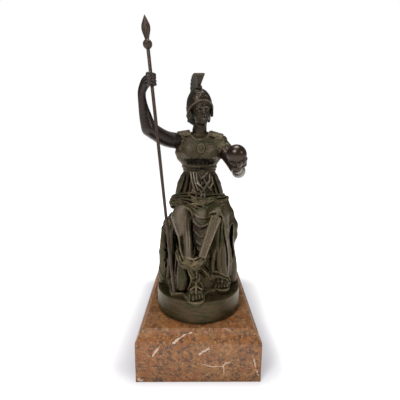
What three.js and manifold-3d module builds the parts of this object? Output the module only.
// Seated bronze Athena on a marble plinth, with a spear in the raised right hand and a globe in the left.
// Millimetres, +Z up. The origin is the middle of the plinth's underside, and the figure faces -Y.
import * as THREE from 'three';
import { mergeVertices } from 'three/addons/utils/BufferGeometryUtils.js';
import Module from 'manifold-3d';

const wasm = await Module();
wasm.setup();

// Plinth
const plinthWidth = 140;
const plinthDepth = 203;
const plinthHeight = 60.5;
const plinthFaceHeight = 47.3;
const plinthArris = 1;
const slopeRise = 7.2;
const slopeInset = 4.4;
const filletHeight = 2.6;
const plinthTopInset = 8.5;

// Round base, cast with the figure
const baseRadius = 52.3;
const baseStraight = 68.6;
const baseHeight = 26.5;
const baseEdge = 1.2;

// Figure, from the top of the base to the top of the crest
const figureHeight = 266;
const globeRadius = 11.2;

// Spear
const spearLength = 282;
const shaftRadius = 2;
const ballRadius = 5.2;
const bladeLength = 27.6;
const bladeWidth = 10.2;
const bladeThickness = 5.4;

const clearance = 0.3;

// The figure is laid out for a height of 266 above its base, and grows with figureHeight.
const layoutHeight = 266;
const figureScale = figureHeight / layoutHeight;
const baseTop = plinthHeight + clearance + baseHeight;
const seatRadius = (baseRadius - 1.6) / figureScale;
const seatStraight = baseStraight / figureScale;
const sunk = 3;

const bronze = new THREE.MeshStandardMaterial({ color: 0x4a4030, roughness: 0.45, metalness: 0.7 });
const bareBronze = new THREE.MeshStandardMaterial({ color: 0x4b3a33, roughness: 0.4, metalness: 0.75 });
const marble = new THREE.MeshStandardMaterial({ color: 0xa9705a, roughness: 0.35, metalness: 0 });

// Numbers and blends
const clamp = (value, low, high) => Math.min(Math.max(value, low), high);
const mix = (from, to, share) => from + (to - from) * share;
const ease = (low, high, value) => {
  const share = clamp((value - low) / (high - low), 0, 1);
  return share * share * (3 - 2 * share);
};
const join = (a, b, blend) => {
  const near = Math.max(blend - Math.abs(a - b), 0) / blend;
  return Math.min(a, b) - near * near * blend / 4;
};
const keep = (a, b, blend) => -join(-a, -b, blend);
const cut = (a, b, blend) => -join(-a, b, blend);
const joinAll = ([first, ...others], blend) => (x, y, z) =>
  others.reduce((distance, field) => join(distance, field(x, y, z), blend), first(x, y, z));

// Solids as distances: negative inside, positive outside
const ellipsoid = ([cx, cy, cz], [rx, ry, rz]) => (x, y, z) => {
  const u = (x - cx) / rx;
  const v = (y - cy) / ry;
  const w = (z - cz) / rz;
  const reach = Math.hypot(u, v, w);
  return reach * (reach - 1) / Math.max(Math.hypot(u / rx, v / ry, w / rz), 1e-6);
};

const segment = (a, b, ra, rb) => {
  const [dx, dy, dz] = [b[0] - a[0], b[1] - a[1], b[2] - a[2]];
  const square = dx * dx + dy * dy + dz * dz;
  return (x, y, z) => {
    const [px, py, pz] = [x - a[0], y - a[1], z - a[2]];
    const share = clamp((px * dx + py * dy + pz * dz) / square, 0, 1);
    return Math.hypot(px - dx * share, py - dy * share, pz - dz * share) - mix(ra, rb, share);
  };
};

const limb = (points, radii, blend = 1) => joinAll(
  points.slice(1).map((point, i) => segment(points[i], point, radii[i], radii[i + 1])), blend);

// A standing form from sections [height, centre x, centre y, half width, half depth], eased between them
const column = (sections, blend = 2) => {
  const last = sections.length - 1;
  return (x, y, z) => {
    let i = 0;
    while (i < last - 1 && z > sections[i + 1][0]) i += 1;
    const [low, high] = [sections[i], sections[i + 1]];
    const share = ease(low[0], high[0], z) * 0.5 + clamp((z - low[0]) / (high[0] - low[0]), 0, 1) * 0.5;
    const rx = mix(low[3], high[3], share);
    const ry = mix(low[4], high[4], share);
    const u = (x - mix(low[1], high[1], share)) / rx;
    const v = (y - mix(low[2], high[2], share)) / ry;
    const side = (Math.hypot(u, v) - 1) * Math.min(rx, ry);
    return keep(side, Math.max(sections[0][0] - z, z - sections[last][0]), blend);
  };
};

// A flat band of cloth between two places, facing one way, with half its width at each end
const strip = (start, end, facing, [widthAtStart, widthAtEnd], halfThickness) => {
  const way = new THREE.Vector3(...end).sub(new THREE.Vector3(...start));
  const length = way.length();
  const along = way.normalize();
  const across = new THREE.Vector3(...facing).cross(along).normalize();
  const out = new THREE.Vector3().crossVectors(along, across);
  return (x, y, z) => {
    const [dx, dy, dz] = [x - start[0], y - start[1], z - start[2]];
    const [a, b, c] = [along, across, out].map((axis) => dx * axis.x + dy * axis.y + dz * axis.z);
    const side = Math.abs(b) - mix(widthAtStart, widthAtEnd, clamp(a / length, 0, 1));
    return keep(Math.max(side, -a, a - length), Math.abs(c) - halfThickness, 0.8);
  };
};

// Relief: folds drawn as strokes on a plane (across, height). Ridges that cross don't add up.
const fold = (width, height, ...points) => ({ width, height, points });

// Strokes between two border curves of like point counts
const fan = (first, last, count, width, height) => Array.from({ length: count }, (_, i) => {
  const share = count === 1 ? 0 : i / (count - 1);
  const points = first.map((p, j) => [mix(p[0], last[j][0], share), mix(p[1], last[j][1], share)]);
  return fold(width, height, ...points);
});

const trailSteps = 14;
const reliefMap = (strokes, [left, bottom, right, top], cell) => {
  const across = Math.ceil((right - left) / cell) + 1;
  const up = Math.ceil((top - bottom) / cell) + 1;
  const ridges = new Float32Array(across * up);
  const furrows = new Float32Array(across * up);
  for (const { points, width, height } of strokes) {
    const curve = new THREE.SplineCurve(points.map(([u, v]) => new THREE.Vector2(u, v)));
    const trail = curve.getPoints(trailSteps).map((p) => p.toArray());
    const xs = trail.map((p) => p[0]);
    const zs = trail.map((p) => p[1]);
    const fromX = Math.max(Math.floor((Math.min(...xs) - width - left) / cell), 0);
    const toX = Math.min(Math.ceil((Math.max(...xs) + width - left) / cell), across - 1);
    const fromZ = Math.max(Math.floor((Math.min(...zs) - width - bottom) / cell), 0);
    const toZ = Math.min(Math.ceil((Math.max(...zs) + width - bottom) / cell), up - 1);
    for (let j = fromZ; j <= toZ; j += 1) {
      for (let i = fromX; i <= toX; i += 1) {
        const [px, pz] = [left + i * cell, bottom + j * cell];
        let nearest = Infinity;
        let along = 0;
        for (let k = 0; k < trail.length - 1; k += 1) {
          const [ax, az] = trail[k];
          const [dx, dz] = [trail[k + 1][0] - ax, trail[k + 1][1] - az];
          const share = clamp(((px - ax) * dx + (pz - az) * dz) / (dx * dx + dz * dz), 0, 1);
          const gap = Math.hypot(px - ax - dx * share, pz - az - dz * share);
          if (gap < nearest) {
            nearest = gap;
            along = (k + share) / (trail.length - 1);
          }
        }
        const taper = Math.min(1, 0.3 + 4 * Math.min(along, 1 - along));
        const rise = height * taper * Math.max(1 - (nearest / width) ** 2, 0);
        const at = j * across + i;
        ridges[at] = Math.max(ridges[at], rise);
        furrows[at] = Math.min(furrows[at], rise);
      }
    }
  }
  const map = ridges.map((rise, at) => rise + furrows[at]);
  return (u, v) => {
    const i = clamp((u - left) / cell, 0, across - 1.001);
    const j = clamp((v - bottom) / cell, 0, up - 1.001);
    const [i0, j0] = [Math.floor(i), Math.floor(j)];
    const at = j0 * across + i0;
    const low = mix(map[at], map[at + 1], i - i0);
    const high = mix(map[at + across], map[at + across + 1], i - i0);
    return mix(low, high, j - j0);
  };
};

// The surface of a distance field inside a box, by marching tetrahedra: always closed, never pinched
const cornerSteps = [0, 1, 2, 3, 4, 5, 6, 7].map((n) => [n & 1, (n >> 1) & 1, (n >> 2) & 1]);
const tetrahedra = [[0, 1, 3, 7], [0, 3, 2, 7], [0, 2, 6, 7], [0, 6, 4, 7], [0, 4, 5, 7], [0, 5, 1, 7]];
const evenTurns = [[0, 1, 2, 3], [1, 0, 3, 2], [2, 3, 0, 1], [3, 2, 1, 0]];
const evenPairs = { 3: [0, 1, 2, 3], 5: [0, 2, 3, 1], 9: [0, 3, 1, 2], 6: [1, 2, 0, 3], 10: [1, 3, 2, 0],
  12: [2, 3, 0, 1] };
const cellsPerBlock = 4;
const edgeKeep = 0.08;

const surface = (field, [low, high], cell) => {
  const farCells = Math.round(cellsPerBlock);
  const counts = [0, 1, 2].map((axis) =>
    Math.ceil((high[axis] - low[axis]) / cell / farCells) * farCells + 1);
  const [nx, ny, nz] = counts;
  const index = (i, j, k) => (k * ny + j) * nx + i;
  const values = new Float32Array(nx * ny * nz);
  const middle = cell * farCells / 2;
  const reach = cell * farCells * 1.5 + 3;
  for (let k = 0; k < nz; k += farCells) {
    for (let j = 0; j < ny; j += farCells) {
      for (let i = 0; i < nx; i += farCells) {
        const [x, y, z] = [low[0] + i * cell, low[1] + j * cell, low[2] + k * cell];
        const rough = field(x + middle, y + middle, z + middle);
        const near = Math.abs(rough) < reach;
        for (let c = k; c < Math.min(k + farCells, nz); c += 1) {
          for (let b = j; b < Math.min(j + farCells, ny); b += 1) {
            for (let a = i; a < Math.min(i + farCells, nx); a += 1) {
              const value = near ? field(low[0] + a * cell, low[1] + b * cell, low[2] + c * cell) : rough;
              const rim = [a, b, c].some((step, axis) => step === 0 || step === counts[axis] - 1);
              values[index(a, b, c)] = rim ? Math.max(value, cell / 2) : value;
            }
          }
        }
      }
    }
  }
  const positions = [];
  const triangles = [];
  const known = new Map();
  const placeOf = (corner) => [corner % nx, Math.floor(corner / nx) % ny, Math.floor(corner / nx / ny)]
    .map((step, axis) => low[axis] + step * cell);
  const diagonals = [1, nx, nx + 1, nx * ny, nx * ny + 1, nx * ny + nx, nx * ny + nx + 1];
  const crossing = (a, b) => {
    const [first, second] = a < b ? [a, b] : [b, a];
    const key = first * 8 + diagonals.indexOf(second - first);
    if (!known.has(key)) {
      const share = clamp(values[first] / (values[first] - values[second]), edgeKeep, 1 - edgeKeep);
      const [from, to] = [placeOf(first), placeOf(second)];
      known.set(key, positions.length / 3);
      positions.push(...from.map((value, axis) => mix(value, to[axis], share)));
    }
    return known.get(key);
  };
  for (let k = 0; k < nz - 1; k += 1) {
    for (let j = 0; j < ny - 1; j += 1) {
      for (let i = 0; i < nx - 1; i += 1) {
        const corners = cornerSteps.map(([a, b, c]) => index(i + a, j + b, k + c));
        const full = corners.filter((corner) => values[corner] < 0).length;
        if (full === 0 || full === 8) continue;
        for (const tetrahedron of tetrahedra) {
          const tip = tetrahedron.map((corner) => corners[corner]);
          const inside = tip.reduce((bits, corner, n) => bits + (values[corner] < 0 ? 1 << n : 0), 0);
          const count = [0, 1, 2, 3].filter((n) => inside & (1 << n)).length;
          if (count === 1 || count === 3) {
            const lone = [0, 1, 2, 3].find((n) => Boolean(inside & (1 << n)) === (count === 1));
            const [p, q, r, s] = evenTurns[lone].map((n) => tip[n]);
            const ring = [crossing(p, q), crossing(p, r), crossing(p, s)];
            triangles.push(...(count === 1 ? ring : ring.reverse()));
          } else if (count === 2) {
            const [p, q, r, s] = evenPairs[inside].map((n) => tip[n]);
            const ring = [crossing(p, r), crossing(p, s), crossing(q, s), crossing(q, r)];
            triangles.push(ring[0], ring[1], ring[2], ring[0], ring[2], ring[3]);
          }
        }
      }
    }
  }
  const geometry = new THREE.BufferGeometry();
  geometry.setAttribute('position', new THREE.Float32BufferAttribute(positions, 3));
  geometry.setIndex(triangles);
  return geometry;
};

// Thinning: the edges whose loss bends the surface least are drawn together first, round by round.
// Each vertex carries the planes of the faces around it as the ten terms of a squared distance.
const planeTerms = ['xx', 'xy', 'xz', 'xd', 'yy', 'yz', 'yd', 'zz', 'zd', 'dd'];
const termCount = planeTerms.length;
const sharePerRound = 0.4;
const leastTurn = 0.25;

class Thinning {
  constructor(geometry) {
    this.places = Float64Array.from(geometry.getAttribute('position').array);
    this.faces = Uint32Array.from(geometry.getIndex().array);
    this.vertexCount = this.places.length / 3;
    this.faceCount = this.faces.length / 3;
    this.alive = new Uint8Array(this.faceCount).fill(1);
    this.terms = new Float64Array(this.vertexCount * termCount);
    this.around = Array.from({ length: this.vertexCount }, () => []);
    this.spot = new Float64Array(3);
    for (let face = 0; face < this.alive.length; face += 1) this.addPlane(face);
  }

  corners(face) {
    return [this.faces[3 * face], this.faces[3 * face + 1], this.faces[3 * face + 2]];
  }

  // The face's normal, twice its area long, with its corner `moved` taken to `spot` if it has one
  normal(face, first = -1, second = -1) {
    const at = (v, axis) => (v === first || v === second ? this.spot[axis] : this.places[3 * v + axis]);
    const [a, b, c] = this.corners(face);
    const [ux, uy, uz] = [at(b, 0) - at(a, 0), at(b, 1) - at(a, 1), at(b, 2) - at(a, 2)];
    const [vx, vy, vz] = [at(c, 0) - at(a, 0), at(c, 1) - at(a, 1), at(c, 2) - at(a, 2)];
    return [uy * vz - uz * vy, uz * vx - ux * vz, ux * vy - uy * vx];
  }

  addPlane(face) {
    const [nx, ny, nz] = this.normal(face);
    const size = Math.hypot(nx, ny, nz) || 1;
    const [a] = this.corners(face);
    const depth = -(nx * this.places[3 * a] + ny * this.places[3 * a + 1] + nz * this.places[3 * a + 2]);
    const plane = [nx * nx, nx * ny, nx * nz, nx * depth, ny * ny, ny * nz, ny * depth, nz * nz, nz * depth,
      depth * depth];
    for (const v of this.corners(face)) {
      this.around[v].push(face);
      for (let t = 0; t < termCount; t += 1) this.terms[v * termCount + t] += plane[t] / size;
    }
  }

  // Finds the best meeting place of two vertices, leaves it in `spot` and returns its error
  meet(a, b) {
    const { terms, places, spot } = this;
    const term = (t) => terms[a * termCount + t] + terms[b * termCount + t];
    const [q0, q1, q2, q3, q4] = [term(0), term(1), term(2), term(3), term(4)];
    const [q5, q6, q7, q8, q9] = [term(5), term(6), term(7), term(8), term(9)];
    const error = (x, y, z) => q0 * x * x + q4 * y * y + q7 * z * z + q9
      + 2 * (q1 * x * y + q2 * x * z + q5 * y * z + q3 * x + q6 * y + q8 * z);
    const [c0, c1, c2] = [q4 * q7 - q5 * q5, q2 * q5 - q1 * q7, q1 * q5 - q2 * q4];
    const det = q0 * c0 + q1 * c1 + q2 * c2;
    if (det > 1e-5 * (q0 + q4 + q7) ** 3) {
      spot[0] = -(q3 * c0 + q6 * c1 + q8 * c2) / det;
      spot[1] = -(q3 * c1 + q6 * (q0 * q7 - q2 * q2) + q8 * (q1 * q2 - q0 * q5)) / det;
      spot[2] = -(q3 * c2 + q6 * (q1 * q2 - q0 * q5) + q8 * (q0 * q4 - q1 * q1)) / det;
      return error(...spot);
    }
    for (let axis = 0; axis < 3; axis += 1) spot[axis] = (places[3 * a + axis] + places[3 * b + axis]) / 2;
    return error(...spot);
  }

  neighbours(v) {
    return new Set(this.around[v].flatMap((face) => this.corners(face)).filter((other) => other !== v));
  }

  // Draws b into a, unless that would pinch the surface or turn a face over
  collapse(a, b) {
    const ring = this.neighbours(b);
    if ([...this.neighbours(a)].filter((v) => ring.has(v)).length !== 2) return;
    this.meet(a, b);
    const lost = this.around[a].filter((face) => this.corners(face).includes(b));
    const kept = [...this.around[a], ...this.around[b]].filter((face) => !lost.includes(face));
    for (const face of kept) {
      const [was, is] = [this.normal(face), this.normal(face, a, b)];
      const along = was[0] * is[0] + was[1] * is[1] + was[2] * is[2];
      if (along <= leastTurn * Math.hypot(...was) * Math.hypot(...is)) return;
    }
    this.places.set(this.spot, 3 * a);
    for (let t = 0; t < termCount; t += 1) this.terms[a * termCount + t] += this.terms[b * termCount + t];
    for (const face of this.around[b]) {
      for (let n = 3 * face; n < 3 * face + 3; n += 1) if (this.faces[n] === b) this.faces[n] = a;
    }
    for (const face of lost) {
      this.alive[face] = 0;
      for (const v of this.corners(face)) this.around[v] = this.around[v].filter((other) => other !== face);
    }
    this.around[a] = kept;
    this.around[b] = [];
    this.faceCount -= lost.length;
    this.touched[a] = 1;
    this.touched[b] = 1;
  }

  round(target) {
    const pairs = [];
    const errors = [];
    for (let face = 0; face < this.alive.length; face += 1) {
      if (!this.alive[face]) continue;
      const corners = this.corners(face);
      for (let n = 0; n < 3; n += 1) {
        const [a, b] = [corners[n], corners[(n + 1) % 3]];
        if (a > b) continue;
        pairs.push(a, b);
        errors.push(this.meet(a, b));
      }
    }
    const limit = Float64Array.from(errors).sort()[Math.floor(errors.length * sharePerRound)];
    const order = [...errors.keys()].filter((n) => errors[n] <= limit).sort((m, n) => errors[m] - errors[n]);
    this.touched = new Uint8Array(this.vertexCount);
    for (const n of order) {
      if (this.faceCount <= target) return;
      const [a, b] = [pairs[2 * n], pairs[2 * n + 1]];
      if (!this.touched[a] && !this.touched[b]) this.collapse(a, b);
    }
  }

  geometry() {
    const numbers = new Map();
    const index = [];
    for (let face = 0; face < this.alive.length; face += 1) {
      if (!this.alive[face]) continue;
      for (const v of this.corners(face)) {
        if (!numbers.has(v)) numbers.set(v, numbers.size);
        index.push(numbers.get(v));
      }
    }
    const positions = [...numbers.keys()].flatMap((v) => [...this.places.subarray(3 * v, 3 * v + 3)]);
    const result = new THREE.BufferGeometry();
    result.setAttribute('position', new THREE.Float32BufferAttribute(positions, 3));
    result.setIndex(index);
    return result;
  }
}

const thinned = (geometry, target) => {
  const work = new Thinning(geometry);
  for (let before = Infinity; work.faceCount > target && work.faceCount < before;) {
    before = work.faceCount;
    work.round(target);
  }
  return work.geometry();
};

// Closed solids for joining and cutting
const solid = (geometry) => {
  const bare = geometry.clone();
  bare.deleteAttribute('normal');
  bare.deleteAttribute('uv');
  const merged = bare.getIndex() ? bare : mergeVertices(bare, 1e-4);
  const welded = mergeVertices(merged, 1e-4);
  return new wasm.Manifold(new wasm.Mesh({
    numProp: 3,
    vertProperties: Float32Array.from(welded.getAttribute('position').array),
    triVerts: Uint32Array.from(welded.getIndex().array),
  }));
};

const geometryOf = (manifold) => {
  const mesh = manifold.getMesh();
  const geometry = new THREE.BufferGeometry();
  geometry.setAttribute('position', new THREE.Float32BufferAttribute(mesh.vertProperties, 3));
  geometry.setIndex([...mesh.triVerts]);
  geometry.computeVertexNormals();
  return geometry;
};

// A closed loft through rings of points, each ring [outline, height], with the same count of points
const loft = (rings) => {
  const count = rings[0][0].length;
  const positions = rings.flatMap(([outline, height]) => outline.flatMap(([x, y]) => [x, y, height]));
  const triangles = [];
  for (let ring = 0; ring < rings.length - 1; ring += 1) {
    for (let i = 0; i < count; i += 1) {
      const next = (i + 1) % count;
      const [a, b] = [ring * count + i, ring * count + next];
      triangles.push(a, b, b + count, a, b + count, a + count);
    }
  }
  for (let i = 1; i < count - 1; i += 1) {
    const lastRing = (rings.length - 1) * count;
    triangles.push(0, i + 1, i, lastRing, lastRing + i, lastRing + i + 1);
  }
  const geometry = new THREE.BufferGeometry();
  geometry.setAttribute('position', new THREE.Float32BufferAttribute(positions, 3));
  geometry.setIndex(triangles);
  return geometry;
};

const rectangle = (inset) => {
  const [x, y] = [plinthWidth / 2 - inset, plinthDepth / 2 - inset];
  return [[-x, -y], [x, -y], [x, y], [-x, y]];
};

const arcSteps = 28;
const stadium = (inset) => {
  const radius = baseRadius - inset;
  return [0, 1].flatMap((end) => Array.from({ length: arcSteps + 1 }, (_, i) => {
    const angle = Math.PI * (end + i / arcSteps);
    return [radius * Math.cos(angle), radius * Math.sin(angle) + (end ? -1 : 1) * baseStraight / 2];
  }));
};

// Marble plinth: plain faces, a slope and a small fillet up to the top
const slopeFoot = plinthFaceHeight + plinthArris;
const slopeTop = slopeFoot + slopeRise;
const plinth = loft([
  [rectangle(plinthArris), 0],
  [rectangle(0), plinthArris],
  [rectangle(0), plinthFaceHeight],
  [rectangle(plinthArris), slopeFoot],
  [rectangle(slopeInset), slopeTop],
  [rectangle(slopeInset), slopeTop + filletHeight],
  [rectangle(slopeInset + plinthArris), slopeTop + filletHeight],
  [rectangle(plinthTopInset), plinthHeight],
]);

// Round base
const base = loft([
  [stadium(baseEdge), plinthHeight + clearance],
  [stadium(0), plinthHeight + clearance + baseEdge],
  [stadium(0), baseTop - baseEdge],
  [stadium(baseEdge), baseTop],
]);

// Figure. Places are [x, y, height above the base] at layoutHeight.

// Seat: a rock as wide as the base, lower behind, with the cloak hung over it
const seatTop = 84;
const seatFront = -42;
const seatBack = 84;
const seatFall = 24;
const seat = (x, y, z) => {
  const inset = mix(1, 6.6, ease(30, 90, z)) + 2.4 * ease(0, 8, x) * ease(10, 40, z);
  const plan = Math.hypot(x, Math.max(Math.abs(y) - seatStraight / 2, 0)) - seatRadius + inset;
  const top = z - seatTop + seatFall * ease(26, seatBack, y);
  const behind = y - seatBack + 0.12 * z;
  return keep(keep(plan, Math.max(seatFront - y, behind), 8), Math.max(top, -sunk - z), 12);
};

const legs = joinAll([
  limb([[-13, 2, 86], [-20.5, -46, 91]], [17, 12.5]),
  limb([[15, 2, 86], [21, -46, 91]], [17, 11.5]),
  limb([[-20.5, -47, 90], [-16, -57, 64], [-14, -60, 52], [-9.5, -62, 38], [-4, -62, 14]],
    [12.2, 8.6, 8, 7.4, 7], 4),
  limb([[21, -47, 90], [25, -54, 58], [31, -52, 18]], [11.4, 8.6, 7], 4),
], 4);

// The skirt around the legs, the panel under her left knee, the cloak down her left side and the hips
const skirt = column([
  [-sunk, -2, -14, 45, 52],
  [6, -2, -14, 45, 52],
  [20, -2, -14, 44, 49],
  [45, -1, -14, 43, 41],
  [70, -1, -14, 41, 35],
  [79, 0, -14, 39, 34.6],
  [85, 1.5, -14, 34.4, 34.4],
  [90, 1.5, -14, 34, 34],
  [99, 0.4, -10, 33, 26],
]);
const panel = column([
  [14, 21, -34, 21, 24],
  [30, 20.5, -34, 20.5, 25.5],
  [60, 21.5, -36, 16, 21],
  [86, 21, -36, 11.5, 19],
  [98, 21, -34, 9, 16],
], 4);
const cloak = limb([[33, -12, 101], [38.2, -18, 88], [41.4, -21, 73], [42, -22, 58], [37.6, -22, 36],
  [39.2, -22, 10]], [6.5, 7.3, 7.8, 7.4, 7, 7], 5);
const hips = column([
  [78, 1, 2, 34, 26],
  [98, 0.5, 1, 34.5, 25],
  [112, 0, 1, 31.5, 21.5],
], 4);
const cloths = joinAll([skirt, panel, cloak, hips], 4);

// The roll of cloth across the lap: strands that sag together and cross, over a core
const strands = [
  [[-37, -8, 107.6], [-24.4, -20, 112.6], [-13, -23, 114], [-3.4, -24.6, 112.6], [7, -25.4, 109.2],
    [17.4, -22.4, 111.2], [26, -18, 111.8], [36, -8, 109.4]],
  [[-38, -10, 103.6], [-25.4, -23.6, 107.8], [-14, -28.6, 108.8], [-4.1, -31, 104.8], [8.6, -32.4, 101.8],
    [20, -29, 105.6], [31.4, -21.6, 107], [37.6, -11, 105]],
  [[-37.6, -11.6, 99.6], [-24, -27, 104], [-13.6, -32.6, 103], [-4.1, -36.4, 98], [5.6, -38.2, 94.6],
    [15, -35.8, 98], [25.4, -28.4, 102.6], [35.6, -14, 101.6]],
  [[-20, -31, 101], [-10, -38, 96], [-2, -41.4, 91.8], [6, -42.4, 89.4], [13.7, -40.6, 92], [21, -36, 96.6]],
];
const roll = joinAll([
  limb([[-32, -9.6, 103], [-20, -19.6, 105], [-6, -24.8, 104], [6, -28, 99.6], [19, -23.6, 102],
    [32, -9.8, 104]], [6.6, 6.2, 6.2, 6.2, 6.2, 6.6], 3),
  ...strands.map((strand) => limb(strand, strand.map(() => 2.3), 1.5)),
  limb([[-34, -11, 107.5], [-35.8, -12.6, 101.5], [-34.6, -13.4, 96]], [3.4, 4.2, 3.4]),
  ellipsoid([36.4, -14, 107.6], [2.6, 3, 2.6]),
  limb([[33, -9, 107], [34.6, -12, 101], [35.2, -15, 95]], [3.8, 4.6, 4.8]),
], 1);

// The swag around the right shin, the falls from the knees and down the right side
const loops = joinAll([
  limb([[-24, -55, 47], [-15, -61, 41], [-8, -63.5, 38.5], [3, -61.5, 40], [9, -56, 45]],
    [4.5, 4.5, 4.5, 4.5, 4.5], 3),
  limb([[-26.6, -58, 51], [-19.6, -66, 40.4], [-10.5, -70.2, 36.4], [-1, -69.4, 37.2], [5.5, -66, 42],
    [9, -60, 50]], [1.8, 2.1, 2.2, 2.1, 2.1, 1.8], 1),
  limb([[-22.6, -60, 54], [-15.5, -67.6, 44], [-7.5, -70.4, 41], [1, -68.4, 43], [7, -63, 49.4]],
    [1.7, 2, 2, 2, 1.7], 1),
  limb([[-28, -56, 45], [-19, -64.2, 35], [-9, -68.8, 31.8], [1.2, -67.8, 33.4], [8.4, -63, 41]],
    [1.8, 2, 2.1, 2, 1.7], 1),
  limb([[29, -43, 92], [30, -44, 60], [33, -42, 20]], [7, 7, 7], 3),
  limb([[26, -48, 100], [31, -50, 91], [32.4, -52, 78], [33.4, -52.6, 64], [35.6, -50.5, 50],
    [38, -48, 34], [38.8, -46, 16]], [2.2, 2.8, 2.8, 2.8, 2.9, 2.9, 2.8], 2),
  limb([[26.6, -50, 84], [28, -53.6, 66], [29.4, -55.5, 46], [31, -56, 22]], [1.6, 2.1, 2.4, 2.6], 2),
  limb([[22, -52, 62], [23, -57, 48], [24.6, -59, 32], [25, -58.5, 24]], [1.6, 2.3, 2.7, 2.5], 2),
  limb([[-20, -60, 38], [-19.6, -63.4, 20], [-20.4, -64.6, 9]], [4.4, 6.5, 6.5], 2),
  limb([[-30, -26, 79.6], [-37.6, -32, 79.6], [-42.4, -37, 73], [-43.4, -38.5, 58], [-46.6, -36, 41],
    [-47.4, -34, 20], [-45.6, -36, 2]], [3.6, 3.8, 4, 3.8, 3.8, 4, 4.4], 2),
  limb([[-28, -46, 84], [-33, -47, 70], [-34, -48.6, 54], [-36, -48, 36], [-37, -47, 14]],
    [2.4, 3, 2.8, 2.8, 3], 2),
], 1.2);
const band = strip([19.6, -60.5, 93.5], [3.2, -68.5, 46.5], [0.1, -1, 0.1], [6.1, 4.3], 2);
const overTheFeet = joinAll([
  limb([[18, -67, 8], [28, -67, 8], [36, -60, 7]], [4, 5.4, 4.4]),
  limb([[-16, -78, 5], [8, -78, 5]], [6.5, 6.5]),
  limb([[-40, -50, 9], [-32, -62, 8]], [5, 4]),
], 3);

const frontFolds = reliefMap([
  fold(2.6, 2.6, [-9, 96.5], [-3, 91.4], [2.5, 89.6], [8.4, 90.6], [12, 93.6]),
  fold(2.6, 3.6, [-8.6, 88], [-3, 82], [1.6, 79.4], [7, 80.4], [11, 84.6]),
  fold(2, -2.2, [-7, 82.4], [-2, 76.6], [3, 74.6], [8.6, 78.6]),
  fold(2.6, 2.8, [-5.6, 75], [-1, 69.2], [3.4, 66.8], [8, 69.6]),
  fold(2.4, 2.2, [-4.4, 63], [-1, 58.4], [3.6, 57.4]),
  fold(2.2, 2.6, [-15.6, 91], [-16.4, 76], [-15.8, 62], [-13.6, 48]),
  fold(2, 2.6, [-11, 91], [-11.6, 76], [-11.4, 62], [-9.6, 47]),
  fold(1.8, -3, [-8, 88], [-7.8, 76], [-7.8, 62], [-6.4, 48]),
  fold(2, -2.6, [-20.6, 74], [-20.4, 62], [-17.6, 48]),
  fold(2.2, 2.8, [-31, 92], [-27.6, 80], [-24.4, 70], [-23.8, 60], [-20.4, 50], [-16, 44]),
  fold(2.8, -7, [-27, 67], [-26.4, 57], [-22.4, 47.6]),
  fold(1.6, -2.4, [26.4, 88], [24.6, 70], [22.4, 54]),
  fold(2, -2.6, [29.4, 84], [29.8, 66], [32.6, 46], [35, 26]),
  fold(1.8, -2, [12, 46], [13.2, 36], [13.6, 27]),
  fold(2.6, -8, [40.4, 76], [40.8, 62], [40.6, 52], [41.8, 40]),
  fold(2.8, 2.2, [-38, 82], [-34.4, 66], [-36, 50], [-41, 30], [-43, 8]),
  fold(2, -4, [-30, 72], [-29.4, 56], [-31, 40], [-31, 24], [-30, 8]),
  fold(1.8, -3.4, [-38.4, 76], [-38.6, 60], [-40.4, 46]),
  fold(1.8, -3, [-27, 44], [-27, 30], [-27.4, 14]),
  fold(2, 2.4, [-12.6, 30], [-9.6, 22], [-10, 15], [-12.6, 10]),
  fold(2, 2.4, [-5, 31], [0.4, 26], [1, 19], [-3, 14]),
  fold(1.8, -2.6, [-2, 28], [5, 22], [9, 16]),
  fold(2, 2.4, [2, 31], [8.4, 25], [13, 19], [15, 13]),
  fold(1.6, 2, [8, 20.4], [14, 24], [20, 25.4], [28.9, 22], [37, 15.6]),
  fold(2, -2, [12, 17], [20, 21.4], [28.9, 18], [35, 13]),
  fold(2.2, -5, [-41.6, 66], [-39, 56], [-39.6, 48]),
  fold(2.2, -5, [-42.6, 48], [-40, 42], [-41.4, 34]),
], [-56, -4, 56, 112], 0.8);
const sideFolds = reliefMap([
  ...fan([[-38, 82], [-42, 50], [-44, 2]], [[-8, 84], [-6, 45], [-4, 2]], 4, 3.8, 2.8),
  ...fan([[0, 84], [2, 45], [4, 2]], [[22, 80], [26, 45], [30, 2]], 3, 4.6, 3.2),
  ...fan([[32, 76], [38, 40], [42, 2]], [[66, 58], [72, 30], [76, 2]], 4, 5, 3.2),
  ...fan([[-34, 76], [-38, 50], [-40, 8]], [[12, 78], [16, 45], [18, 8]], 5, 1.8, -2.4),
  fold(3, -6.5, [-33, 58], [-37, 50], [-39, 43]),
  fold(2.8, -6, [-33, 43], [-37, 37], [-40, 29]),
  fold(2.8, -4.4, [-14, 70], [-10, 50], [-16, 30]),
], [-90, -4, 90, 100], 0.8);
const backFolds = reliefMap([
  ...fan([[-30, 70], [-34, 36], [-38, 2]], [[30, 70], [34, 36], [38, 2]], 8, 4.4, 3.2),
  ...fan([[-26, 68], [-30, 36], [-33, 4]], [[26, 68], [30, 36], [33, 4]], 7, 2, -2.4),
], [-56, -4, 56, 100], 0.8);
const pleats = reliefMap([
  ...fan([[-18.6, 141], [-23.6, 124], [-31, 104]], [[-9, 140], [-11.4, 125], [-13.6, 110]], 3, 2.8, 3),
  ...fan([[11.6, 138], [15.6, 124], [20, 108]], [[20, 141], [26, 124], [33, 104]], 3, 2.8, 3),
], [-50, 90, 50, 165], 0.8);
const dressBackFolds = reliefMap(
  fan([[-18, 180], [-19, 140], [-32, 96]], [[18, 180], [19, 140], [32, 96]], 7, 3.4, 2.6),
  [-50, 90, 50, 190], 0.8);

// How far a place faces forwards and backwards, as shares that leave the rest to the sides
const facingShares = (x, y) => {
  const round = Math.hypot(x, y - 4) || 1;
  return [ease(0.1, 0.6, (4 - y) / round), ease(0.1, 0.6, (y - 4) / round)];
};

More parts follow.
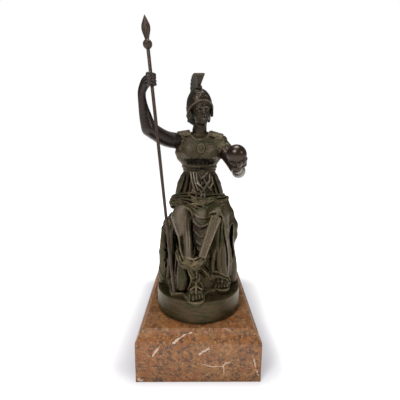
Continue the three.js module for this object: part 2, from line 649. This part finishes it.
// The ground slab follows the hem, the spear's foot and both feet
const slabHeight = 4.5;
const slabMargin = 1.2;
const slabCorners = [[-48, 12], [-50.5, -14], [-43.5, -33], [-35.5, -50], [-31.5, -70.5], [-25, -71.5],
  [-18.5, -71.5], [-14, -81], [-9, -86], [0, -86], [5.5, -79], [8, -70.5], [14, -65], [21, -62.6],
  [28, -63], [34, -56], [38.5, -44], [44.5, -26], [49.5, -12], [48, 12]];
const outlineGap = (x, y, corners) => {
  let nearest = Infinity;
  let inside = false;
  corners.forEach(([ax, ay], n) => {
    const [bx, by] = corners[(n + 1) % corners.length];
    const [dx, dy] = [bx - ax, by - ay];
    const share = clamp(((x - ax) * dx + (y - ay) * dy) / (dx * dx + dy * dy), 0, 1);
    nearest = Math.min(nearest, Math.hypot(x - ax - dx * share, y - ay - dy * share));
    if ((ay > y) !== (by > y) && x < ax + ((y - ay) / dy) * dx) inside = !inside;
  });
  return inside ? -nearest : nearest;
};
const slab = (x, y, z) => {
  if (z > slabHeight + 8) return z - slabHeight;
  const plan = outlineGap(x, y, slabCorners) - slabMargin;
  return keep(plan, Math.max(z - slabHeight, -sunk - z), 0.8);
};

const drapery = (x, y, z) => {
  let whole = join(join(seat(x, y, z), cloths(x, y, z), 4), legs(x, y, z), 4);
  const [front, back] = facingShares(x, y);
  const rise = front * frontFolds(x, z) + back * backFolds(x, z) + (1 - front - back) * sideFolds(y, z);
  whole = cut(whole - rise * ease(104, 98, z) * ease(1.5, 5.5, z), overTheFeet(x, y, z), 3);
  whole = join(join(whole, loops(x, y, z), 2), band(x, y, z), 0.8);
  return join(Math.max(join(whole, roll(x, y, z), 1.2), -sunk - z), slab(x, y, z), 1.2);
};

// Upper body: torso, shoulders, breasts and the left sleeve
const torso = column([
  [92, 0.5, 1, 34, 25],
  [98, 0.5, 1, 34, 25],
  [112, 0.6, 1, 32.6, 21.5],
  [125, 0.2, 3, 29.8, 19],
  [134, 0.2, 4.5, 26, 17],
  [142, 0.4, 6, 21.2, 14.6],
  [150, 0.2, 5.6, 23.8, 15.2],
  [158, -0.8, 4.6, 29.2, 17],
  [166, -0.9, 4, 31.6, 18],
  [174, -0.6, 5, 30, 17.4],
  [182, 0.8, 6.5, 22, 14.2],
  [189, 1, 8, 13, 10.5],
  [194, 1, 8.5, 8, 8],
]);
const bust = joinAll([
  torso,
  limb([[-24, 6.5, 180], [0.6, 9, 184], [26.5, 7, 177.6]], [9.2, 8.8, 9.2]),
  ellipsoid([-11.6, -8, 163.5], [10.2, 9.2, 9.4]),
  ellipsoid([14.2, -8, 162.5], [10.2, 9.2, 9.4]),
  limb([[27.6, 7, 177.4], [36, -1, 167]], [11, 10.2]),
], 4);

// Breastplate over bust and shoulders, with a waved edge, an oval boss, shoulder straps and a belt
const plateThickness = 1.6;
const plateEdge = 158.6;
const plateTop = 195;
const breastplate = (x, y, z) => {
  const cleft = 3.4 * Math.exp(-(((x - 0.8) / 3) ** 2)) * ease(4, -4, y);
  const edge = plateEdge + cleft + 0.05 * Math.max(Math.abs(x - 2) - 12, 0) ** 2;
  const neck = Math.hypot((x - 0.2) / 13.2, (z - plateTop) / 12.6) + ease(2, 8, y);
  const below = ease(plateTop + 2, plateTop - 2, z);
  return plateThickness * ease(edge - 0.8, edge + 0.8, z) * ease(0.97, 1.05, neck) * below;
};
const beltFoot = 142;
const beltTop = 148;
const beltThickness = 0.9;
const belt = (z) => beltThickness
  * ease(beltFoot - 0.5, beltFoot + 0.5, z) * ease(beltTop + 0.5, beltTop - 0.5, z);
const straps = joinAll([
  strip([-12, 4, 192.5], [-28.6, 2.4, 189.6], [-0.15, -0.35, 1], [7, 8], 1.7),
  strip([13.5, 4, 192], [31, 2.4, 187], [0.2, -0.35, 1], [7, 8], 1.7),
], 0.5);
const medallion = ellipsoid([2.2, -14.6, 171.5], [5.2, 3, 6.2]);
const neckRadius = 13.4;
const neckline = limb([-1.4, -0.9, -0.3, 0.3, 0.9, 1.4].map((turn) => [
  0.2 + neckRadius * Math.sin(turn), -8.4 + 12 * (1 - Math.cos(turn)) ** 0.8, 195.5 - 12.8 * Math.cos(turn),
]), Array(6).fill(1.4), 1);

// The knotted cloth below the belt with its loops and hanging ends
const knot = joinAll([
  limb([[-11, -15.6, 141], [-9.4, -19.4, 131], [-6, -22.4, 120], [-3.6, -23.8, 112]],
    [1.4, 1.7, 1.8, 1.5], 1),
  limb([[-6, -16, 141], [-4.4, -20.6, 131], [0, -23, 120]], [1.4, 1.7, 1.6], 1),
  limb([[-0.6, -16.6, 140], [2.4, -21.4, 133.5], [7, -21.4, 137.5], [10.6, -17, 141]],
    [1.4, 1.7, 1.7, 1.4], 1),
  limb([[3.8, -18, 139], [6.6, -21.8, 131], [10.4, -22.8, 125], [15.5, -20, 119]], [1.4, 1.8, 1.9, 1.5], 1),
  limb([[13, -16.6, 139], [13.4, -20.4, 131.5], [8.4, -23.8, 124.5], [4.4, -24.2, 118]],
    [1.4, 1.8, 1.9, 1.5], 1),
  limb([[-3, -22.4, 128], [2.6, -24.4, 124], [7.6, -24.2, 116.5], [6.8, -24.2, 110]], [1.4, 1.9, 2, 1.6], 1),
  ellipsoid([4, -22.2, 127.6], [3, 2.8, 2.8]),
  ellipsoid([3, -13.5, 127], [13.6, 7.2, 18.4]),
], 0.8);

const upperBody = (x, y, z) => {
  const [front, back] = facingShares(x, y);
  const plate = breastplate(x, y, z);
  const folds = front * pleats(x, z) + back * dressBackFolds(x, z) * ease(plateThickness, 0, plate);
  const whole = join(bust(x, y, z) - folds - plate - belt(z), straps(x, y, z), 0.6);
  return join(join(whole, knot(x, y, z), 0.8), medallion(x, y, z), 0.5);
};

// Right arm, raised, with the hand around the shaft
const shaftFoot = [-29, -70.3, 4.5];
const gripPlace = [-54.7, -46.2, 246];
const shaftWay = new THREE.Vector3(...gripPlace).sub(new THREE.Vector3(...shaftFoot)).normalize();
const onShaft = (height, offset) => gripPlace.map((value, axis) =>
  value + shaftWay.getComponent(axis) * (height - gripPlace[2]) + offset[axis]);

const fingerPlaces = [[-56.6, 251], [-59.8, 248.2], [-61.2, 244.6], [-61.4, 241]];
const wrappedFingers = fingerPlaces.map(([x, height], n) => {
  const radius = 2.2 - 0.12 * n;
  return limb([[x, -45.6, height - 0.4], onShaft(height, [-2.8, -3.8, -0.1]),
    onShaft(height, [-0.6, -4.4, 0.2]), onShaft(height, [3.9, -1.6, -0.4]), onShaft(height, [2.4, 2.9, -0.4])],
  [radius + 0.35, radius + 0.1, radius, radius, radius - 0.3], 0.5);
});
const rightShoulder = [-24, 6, 180.5];
const rightElbow = [-60.8, -31, 193.6];
const rightWrist = [-67.2, -41, 234.2];
const forearmSwell = [-64, -34, 209];
const forearmTaper = [-66.6, -38.5, 225];
const upperArmMiddle = [-43, -11, 183.2];
const rightArm = joinAll([
  limb([rightShoulder, upperArmMiddle, rightElbow], [9.8, 9, 8.5], 3),
  limb([rightElbow, forearmSwell, forearmTaper, rightWrist], [8.6, 7.2, 5.2, 4.3], 3),
  limb([rightWrist, [-62.4, -42, 242], [-59.2, -43, 246.5]], [4.3, 5, 5], 2.5),
  limb([[-57.2, -44, 250], [-60.6, -44, 242]], [3, 3.4], 2),
  limb([[-61.8, -39.4, 241.6], [-57, -39.6, 248.6], [-52.4, -41.6, 251.6]], [3, 2.5, 2], 1),
], 2);
const fist = joinAll(wrappedFingers, 0.3);
const rightArmAndFist = (x, y, z) => join(rightArm(x, y, z), fist(x, y, z), 0.7);

// Left arm, bent forward, with the globe on the open hand
const leftShoulder = [28, 6, 176];
const leftElbow = [48.6, -25, 144.6];
const leftWrist = [43.4, -57, 147.6];
const globeCentre = [39.8, -68, 164.2];
const globeInHand = globeRadius / figureScale;
const fingersOut = globeInHand + 1;
const cuppedFingers = [[-30, -58], [0, -50], [28, -38], [52, -22]].map(([turn, highest]) => {
  const angle = THREE.MathUtils.degToRad(turn);
  const points = [0, 1, 2, 3].map((joint) => {
    const lift = THREE.MathUtils.degToRad(mix(-88, highest, joint / 3));
    const out = fingersOut * Math.cos(lift);
    return [globeCentre[0] + out * Math.sin(angle), globeCentre[1] - out * Math.cos(angle),
      globeCentre[2] + fingersOut * Math.sin(lift)];
  });
  return limb(points, [2.4, 2.2, 2, 1.7], 0.5);
});
const leftArm = joinAll([
  limb([leftShoulder, [39.6, -9, 159.6], leftElbow], [9.8, 8, 7.9], 3),
  limb([leftElbow, [46.6, -42, 144.4], leftWrist], [7.9, 6.9, 5], 3),
  limb([leftWrist, [41, -66, 149.4]], [4.9, 5.4], 3),
  limb([[45, -59, 149], [49.4, -64, 153.6], [49.6, -68.5, 160], [48.4, -71.5, 163.6]],
    [3, 2.5, 2.1, 1.7], 1.5),
  ...cuppedFingers,
], 0.9);
const heldGlobe = ellipsoid(globeCentre, [globeInHand, globeInHand, globeInHand]);

// Feet in sandals. A foot's own axes: across, toward the heel, up from the sole
const footAt = ([x, y, z], turn, size) => {
  const [c, s] = [Math.cos(turn) * size, Math.sin(turn) * size];
  return (across, back, up) => [x + across * c - back * s, y + across * s + back * c, z + up * size];
};
const foot = (ball, turn, size) => {
  const at = footAt(ball, turn, size);
  const sized = (radii) => radii.map((radius) => radius * size);
  const toes = [-7.2, -3.6, -0.4, 2.7, 5.6].map((side, n) => limb([at(side * 0.85, 0, 4.4),
    at(side, -9.5 + 1.1 * Math.abs(n - 1), 3)], sized([2.4, 2.1 - 0.12 * n]), 0.5));
  return joinAll([
    limb([at(0, 30, 9), at(0, 14, 9.4), at(-0.5, 4, 5)], sized([6.5, 6.2, 4.8]), 3),
    limb([at(4.5, 0, 4), at(-4.8, 0, 4.3)], sized([3.6, 3.8]), 2),
    limb([at(0, 26, 1.2), at(0, 0, 1.2), at(0, -5, 1.2)], sized([6, 8.6, 8.5]), 1),
    ...toes,
  ], 0.8);
};
const rightFoot = foot([-3, -76, 1], 0.06, 1.16);
const leftFoot = foot([29.4, -54, slabHeight], -0.16, 1.04);

// Head, turned to her left and tilted to her right. Its own axes: across, back, height above the chin
const headPlace = [2.5, 2, 200.8];
const headTurn = THREE.MathUtils.degToRad(16);
const headTilt = THREE.MathUtils.degToRad(5);
const intoHead = new THREE.Matrix4().makeRotationZ(-headTurn)
  .multiply(new THREE.Matrix4().makeRotationY(headTilt));
const inHead = (x, y, z) => new THREE.Vector3(x, y, z).sub(new THREE.Vector3(...headPlace))
  .applyMatrix4(intoHead).toArray();

const skull = joinAll([
  ellipsoid([0, 3, 24], [12.6, 15.5, 15.5]),
  ellipsoid([0, -3, 15], [10.6, 11.2, 14.6]),
  ellipsoid([0, -9.2, 3.8], [4.4, 3.9, 3.9]),
], 5);
const features = joinAll([
  limb([[0, -13.4, 20.4], [0, -15.6, 14.6], [0, -16.8, 11.9]], [1.2, 1.4, 1.7], 0.6),
  ellipsoid([0, -14.8, 10.7], [2.7, 2.2, 1.3]),
  ...[-1, 1].map((side) => limb([[side * 8, -10.6, 20.2], [side * 5, -13.2, 21.6], [side * 1.6, -13.9, 21]],
    [0.9, 1.1, 1.1], 0.5)),
  ...[-1, 1].map((side) => ellipsoid([side * 4.6, -11.9, 18.2], [2.4, 1.8, 1.35])),
  limb([[-2.9, -12.6, 7.6], [0, -14, 7.9], [2.9, -12.6, 7.6]], [0.7, 0.9, 0.7], 0.3),
  limb([[-2.3, -12.6, 6.1], [0, -13.6, 5.9], [2.3, -12.6, 6.1]], [0.7, 1.05, 0.7], 0.3),
], 0.7);
const sockets = joinAll([-1, 1].map((side) => ellipsoid([side * 4.6, -14.4, 18.4], [3.3, 2.6, 2.1])), 1);

// Waved locks from the parting over the temples to the nape
const hair = joinAll([
  ...[0, 1, 2, 3].flatMap((row) => [-1, 1].map((side) => {
    const steps = [0, 1, 2, 3, 4].map((n) => n / 4);
    return limb(steps.map((share) => [
      side * (1.2 + mix(7.4, 12.6, row / 3) * Math.sin(Math.PI / 2 * Math.min(share * 1.5, 1))),
      -12.4 + 2.4 * row + 15 * share ** 1.4,
      27.4 + 0.6 * row - (10 + 4 * row) * share ** 1.25,
    ]), steps.map((share) => mix(1.5, 2.2, share)), 0.8);
  })),
  ...[-1, 1].map((side) =>
    limb([[side * 11, 0, 17], [side * 10.6, 4, 11.5], [side * 8, 9, 8]], [3.2, 3.4, 3], 2)),
  limb([[-11.4, 4, 12], [-11, 7, 7.5], [-8, 9.6, 5]], [3.2, 3.4, 3], 2),
  limb([[-6, 10, 9], [0, 12, 7.5], [6, 10, 9]], [4, 4.6, 4], 2),
], 0.5);

// Helmet: a dome over a low wall, cut by a rim that slants from the brow and runs flatter to the nape
const dome = ellipsoid([0.2, 3.5, 25.6], [16.6, 19.6, 22.2]);
const domeWaist = 25.5;
const rimHeight = 16.2;
const rimAbove = (y, z) => (z - rimHeight + (y - 2) * (y < 2 ? 0.74 : 0.34)) * 0.8;
const fittings = joinAll([
  ellipsoid([0, -6.5, 46.6], [2.6, 3.4, 2.6]),
  ellipsoid([0, -16.6, 36.6], [2, 2, 2.4]),
  ...[-1, 1].map((side) => limb([[side * 14.6, -3, 17], [side * 14.2, -5.4, 10.5]], [2.8, 2.2], 1)),
], 0.4);
const helmet = (x, y, z) => {
  const low = Math.hypot(x / 16.6, (y - 4) / 19) * 17.4 - 17.4 + 0.24 * Math.max(14 - z, 0);
  const bowl = z > domeWaist ? dome(x, y, z) : join(dome(x, y, z), low, 2);
  const over = rimAbove(y, z);
  const lip = Math.hypot(Math.max(Math.abs(over) - 0.6, 0), Math.max(Math.abs(bowl - 0.3) - 0.7, 0)) - 0.8;
  return join(join(keep(bowl, -over, 1), lip, 0.6), fittings(x, y, z), 0.6);
};
const crestMiddle = [4, 27];
const crestRoot = 20.5;
const crestReach = 17.8;
const crest = (x, y, z) => {
  const [dy, dz] = [y - crestMiddle[0], z - crestMiddle[1]];
  const radius = Math.hypot(dy, dz);
  const angle = Math.atan2(dz, dy);
  const forward = ease(-0.6, 1.9, angle);
  const outer = crestRoot + crestReach * mix(0.35, 1, forward);
  const half = mix(1.7, mix(2.3, 6.2, forward), clamp((radius - crestRoot) / crestReach, 0, 1));
  const ends = Math.max(-0.75 - angle, angle - 1.9 - 0.006 * (radius - crestRoot)) * radius;
  return keep(keep(Math.abs(x) - half, Math.max(radius - outer, crestRoot - 5 - radius), 1), ends, 1.2);
};

const neck = limb([[0.4, 10, 184], [0, 7.5, 195], [1.5, 4.5, 206]], [11, 8.8, 8.4], 3);
const head = (x, y, z) => {
  const [u, v, w] = inHead(x, y, z);
  let whole = join(cut(skull(u, v, w), sockets(u, v, w), 1), features(u, v, w), 0.7);
  whole = join(whole, hair(u, v, w), 0.6);
  whole = join(whole, join(helmet(u, v, w), crest(u, v, w), 0.8), 0.4);
  return join(whole, neck(x, y, z), 2);
};

// Each region is worked out on a grid of its own size, thinned, and joined to the rest
const place = (geometry) => geometry.scale(figureScale, figureScale, figureScale).translate(0, 0, baseTop);
const region = (field, box, cell, triangleCount) => {
  const thin = thinned(surface(field, box, cell), triangleCount);
  return solid(place(thin));
};
const bodyField = (x, y, z) => join(drapery(x, y, z), upperBody(x, y, z), 1);
const headField = (x, y, z) => join(head(x, y, z), neckline(x, y, z), 0.8);
const leftArmField = (x, y, z) => join(leftArm(x, y, z), heldGlobe(x, y, z), 0.3);
const feetField = (x, y, z) => Math.min(rightFoot(x, y, z), leftFoot(x, y, z));

const seatWide = seatRadius + 8;
const regions = [
  region(bodyField, [[-seatWide, -92, -sunk - 2], [seatWide, 92, 205]], 2.1, 5200),
  region(headField, [[-26, -26, 176], [28, 46, 272]], 1.1, 1700),
  region(rightArmAndFist, [[-82, -64, 164], [-8, 24, 262]], 1.4, 800),
  region(leftArmField, [[12, -90, 126], [68, 24, 192]], 1.4, 800),
  region(feetField, [[-18, -94, -4], [48, -18, 24]], 1.3, 650),
];

// Spear: shaft, ball and four-sided blade, standing on the slab and passing through the hand
const foothold = new THREE.Vector3(...shaftFoot).multiplyScalar(figureScale)
  .add(new THREE.Vector3(0, 0, baseTop + clearance));
const stand = (geometry) => geometry
  .applyQuaternion(new THREE.Quaternion().setFromUnitVectors(new THREE.Vector3(0, 0, 1), shaftWay))
  .translate(...foothold.toArray());
const shaftSides = 14;
const bladeSides = 4;
const turned = (profile, sides) => new THREE.LatheGeometry(
  profile.map(([radius, height]) => new THREE.Vector2(radius, height)), sides).rotateX(Math.PI / 2);
const ballSteps = 7;
const ballTurn = 1.2;
const shaftProfile = [
  [0, 0], [shaftRadius, 0], [shaftRadius, spearLength - ballRadius],
  ...Array.from({ length: ballSteps }, (_, i) => {
    const angle = mix(-ballTurn, ballTurn, i / (ballSteps - 1));
    return [ballRadius * Math.cos(angle), spearLength + ballRadius * Math.sin(angle)];
  }),
  [0, spearLength + ballRadius],
];
// The blade's half width and height as shares: the socket, the swell, the widest place and the point
const bladeShares = [[0, 0], [0.46, 0], [0.92, 0.36], [1, 0.5], [0.9, 0.62], [0.33, 0.88], [0, 1]];
const bladeSunk = 1;
const shaft = solid(stand(turned(shaftProfile, shaftSides)));
const blade = solid(stand(turned(bladeShares, bladeSides)
  .scale(bladeWidth / 2, bladeThickness / 2, bladeLength)
  .translate(0, 0, spearLength + ballRadius - bladeSunk)));
const boreRadius = shaftRadius + clearance;
const boreLength = spearLength - ballRadius;
const bore = solid(stand(new THREE.CylinderGeometry(boreRadius, boreRadius, boreLength, shaftSides)
  .rotateX(Math.PI / 2).translate(0, 0, boreLength / 2)));

const figureSolid = regions.reduce((whole, part) => whole.add(part), solid(base)).subtract(bore);
const bodies = figureSolid.decompose().sort((a, b) => b.volume() - a.volume());

const named = (name, geometry, material) => {
  const mesh = new THREE.Mesh(geometry, material);
  mesh.name = name;
  return mesh;
};
const statue = new THREE.Group();
statue.add(
  named('marble_plinth', plinth, marble),
  named('athena_figure', geometryOf(bodies[0]), bronze),
  named('spear', geometryOf(shaft.add(blade)), bareBronze),
);
export default statue;
